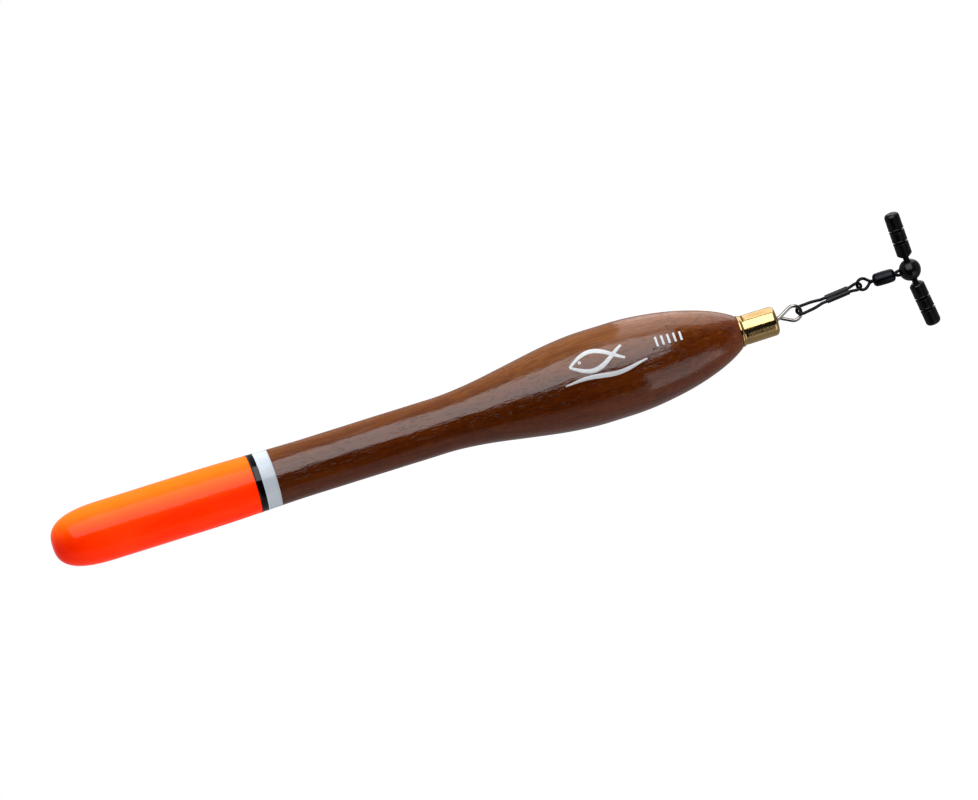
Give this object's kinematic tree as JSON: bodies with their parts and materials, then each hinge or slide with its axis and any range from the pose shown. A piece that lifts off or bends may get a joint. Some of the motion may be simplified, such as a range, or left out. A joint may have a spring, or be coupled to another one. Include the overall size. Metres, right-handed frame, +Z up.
{
  "type": "fishing float",
  "caption": "Slender loaded wooden fishing float with a bright tip, painted bands, brass base and wire eye, hung with a quick-change link, barrel swivel and bead with ribbed rubber line stops.",
  "frame": {"origin": "on the float's axis at its waterline, where the orange tip meets the black band", "axes": "+Z up along the float's axis, from the brass base to the tip; +X towards the side that the link's rig leans to; the line runs roughly along X through the bead"},
  "size_m": [0.0181, 0.0144, 0.1383],
  "materials": {
    "stained_wood": "balsa, stained brown, under clear gloss lacquer",
    "orange_paint": "fluorescent orange gloss paint",
    "black_paint": "gloss paint",
    "white_paint": "gloss paint",
    "brass": "turned and polished",
    "stainless_wire": "bright drawn wire",
    "black_nickel": "black nickel plating, satin",
    "black_sleeve": "soft tube, satin",
    "black_plastic": "moulded, satin",
    "black_rubber": "moulded, satin"
  },
  "bodies": {
    "root": {"balsa_body": "stained_wood", "orange_tip": "orange_paint", "black_band": "black_paint", "white_band": "white_paint", "brass_base": "brass", "eye_wire": "stainless_wire"},
    "link": {"link_wire": "black_nickel"},
    "sleeve": {"link_sleeve": "black_sleeve"},
    "near_eye": {"swivel_near_eye": "black_nickel"},
    "barrel": {"swivel_barrel": "black_nickel"},
    "adaptor": {"swivel_far_eye": "black_nickel", "adaptor_bead": "black_plastic", "line_tube": "black_plastic"},
    "upper_stop": {"upper_stop": "black_rubber"},
    "lower_stop": {"lower_stop": "black_rubber"}
  },
  "joints": [
    {"name": "link_swing", "type": "hinge", "parent": "root", "child": "link", "pos_m": [0.00031, -0.00008, -0.08661], "axis": [0.9657, -0.2408, 0.0976], "range_deg": [-100, 100]},
    {"name": "sleeve_slide", "type": "slide", "parent": "link", "child": "sleeve", "axis": [-0.0947, 0.0236, 0.9952], "range_m": [0, 0.0008]},
    {"name": "swivel_swing", "type": "hinge", "parent": "link", "child": "near_eye", "pos_m": [0.00128, -0.00032, -0.09673], "axis": [0.2419, 0.9703, 0], "range_deg": [-90, 90]},
    {"name": "barrel_spin", "type": "hinge", "parent": "near_eye", "child": "barrel", "pos_m": [0.00128, -0.00032, -0.09673], "axis": [0.0068, -0.0017, 1], "continuous": true},
    {"name": "adaptor_spin", "type": "hinge", "parent": "barrel", "child": "adaptor", "pos_m": [0.00123, -0.00031, -0.10423], "axis": [0.0068, -0.0017, 1], "continuous": true},
    {"name": "upper_stop_slide", "type": "slide", "parent": "adaptor", "child": "upper_stop", "axis": [0.9642, -0.2584, 0.0593], "range_m": [0, 0.0022]},
    {"name": "lower_stop_slide", "type": "slide", "parent": "adaptor", "child": "lower_stop", "axis": [-0.9543, 0.2557, -0.1547], "range_m": [0, 0.0022]}
  ]
}
